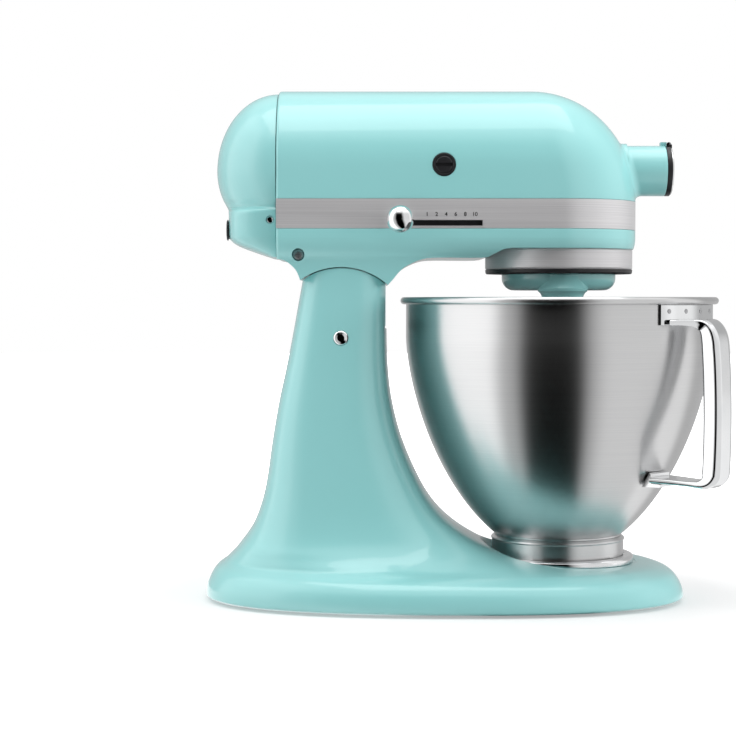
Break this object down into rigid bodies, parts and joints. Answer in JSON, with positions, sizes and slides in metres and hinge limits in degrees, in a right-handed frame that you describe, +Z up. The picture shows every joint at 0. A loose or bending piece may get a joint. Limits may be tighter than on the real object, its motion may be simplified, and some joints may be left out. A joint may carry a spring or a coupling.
{
  "type": "stand mixer",
  "caption": "Tilt-head stand mixer with a steel bowl on a twist-lock plate, planetary drive, flat beater, speed lever and attachment hub.",
  "frame": {"origin": "on the table, under the middle of the base's length and width", "axes": "+X towards the attachment hub, +Z up, +Y to the side of the lock knob"},
  "size_m": [0.3569, 0.2212, 0.3529],
  "materials": {
    "aqua_paint": "gloss enamel",
    "band_metal": "brushed",
    "chrome": "polished",
    "bowl_steel": "brushed",
    "steel": "machined",
    "black_plastic": "moulded",
    "white_plastic": "moulded",
    "rubber": "matt",
    "brass": "machined",
    "iron": "laminated",
    "copper": "enamelled wire",
    "bracket": "die-cast",
    "beater_metal": "burnished",
    "board": "circuit board"
  },
  "bodies": {
    "stand": {"stand_casting": "aqua_paint", "rubber_feet": "rubber", "clamp_plate": "chrome", "clamp_plate_screws": "chrome", "hinge_pin": "chrome", "height_adjust_screw": "steel"},
    "lock": {"lock_slide": "steel", "lock_knob": "chrome"},
    "bowl": {"bowl_shell": "bowl_steel", "bowl_foot": "bowl_steel", "bowl_handle": "chrome", "handle_brackets": "chrome", "handle_rivets": "steel"},
    "head": {"motor_housing": "aqua_paint", "gear_housing": "aqua_paint", "rear_cover": "aqua_paint", "rear_cover_screws": "chrome", "housing_screws": "steel", "trim_band": "band_metal", "hinge_bush": "brass", "drip_ring": "chrome", "drip_ring_lip": "black_plastic", "ring_gear": "steel", "centre_bushing": "brass", "motor_rear_bracket": "bracket", "motor_front_bracket": "bracket", "worm_bracket": "bracket", "stator_core": "iron", "field_windings": "copper", "brush_holders": "black_plastic", "carbon_brushes": "black_plastic", "brush_caps": "black_plastic", "pto_bushing": "brass", "speed_control_board": "board", "cord_grommet": "rubber"},
    "armature": {"armature_shaft": "steel", "armature_core": "iron", "commutator": "copper", "cooling_fan": "white_plastic"},
    "worm_gear": {"worm_wheel": "white_plastic", "worm_wheel_shaft": "steel"},
    "planetary": {"centre_shaft": "steel", "centre_gear": "steel", "planetary_carrier": "aqua_paint", "planetary_pin": "steel"},
    "beater": {"beater_shaft": "chrome", "beater_pin": "steel", "beater_pinion": "steel", "flat_beater": "beater_metal"},
    "power_takeoff": {"pto_gear": "steel", "pto_shaft": "steel"},
    "speed_control": {"speed_lever": "steel", "lever_knob": "chrome"},
    "hub_knob": {"attachment_knob": "black_plastic", "knob_screw": "chrome"},
    "hub_cover": {"hub_cover": "chrome", "hub_cover_rim": "black_plastic"}
  },
  "joints": [
    {"name": "head_tilt", "type": "hinge", "parent": "stand", "child": "head", "pos_m": [-0.0733, 0, 0.1823], "axis": [0, -1, 0], "range_deg": [0, 45]},
    {"name": "lock_slide", "type": "slide", "parent": "stand", "child": "lock", "axis": [1, 0, 0], "range_m": [0, 0.012]},
    {"name": "bowl_twist", "type": "hinge", "parent": "stand", "child": "bowl", "pos_m": [0.0783, 0, 0.03], "axis": [0, 0, 1], "range_deg": [0, 40]},
    {"name": "planetary_spin", "type": "hinge", "parent": "head", "child": "planetary", "pos_m": [0.0783, 0, 0.226], "axis": [0, 0, 1], "continuous": true},
    {"name": "beater_spin", "type": "hinge", "parent": "planetary", "child": "beater", "pos_m": [0.0783, -0.02813, 0.2], "axis": [0, 0, 1], "continuous": true},
    {"name": "worm_gear_spin", "type": "hinge", "parent": "head", "child": "worm_gear", "pos_m": [0.04299, 0.0279, 0.28], "axis": [0, 0, 1], "continuous": true},
    {"name": "armature_spin", "type": "hinge", "parent": "head", "child": "armature", "pos_m": [0, 0, 0.298], "axis": [1, 0, 0], "continuous": true},
    {"name": "takeoff_spin", "type": "hinge", "parent": "head", "child": "power_takeoff", "pos_m": [0.13, 0, 0.298], "axis": [1, 0, 0], "continuous": true},
    {"name": "speed_lever_slide", "type": "slide", "parent": "head", "child": "speed_control", "axis": [1, 0, 0], "range_m": [0, 0.05]},
    {"name": "hub_knob_turn", "type": "hinge", "parent": "head", "child": "hub_knob", "pos_m": [0.142, 0.03, 0.298], "axis": [0, 1, 0], "continuous": true},
    {"name": "hub_cover_flip", "type": "hinge", "parent": "head", "child": "hub_cover", "pos_m": [0.1542, 0, 0.316], "axis": [0, -1, 0], "range_deg": [0, 110]}
  ],
  "couplings": [
    {"joint": "beater_spin", "follows": "planetary_spin", "ratio": -3.3684},
    {"joint": "worm_gear_spin", "follows": "planetary_spin", "ratio": -4},
    {"joint": "armature_spin", "follows": "planetary_spin", "ratio": -44},
    {"joint": "takeoff_spin", "follows": "planetary_spin", "ratio": -2.1429}
  ]
}
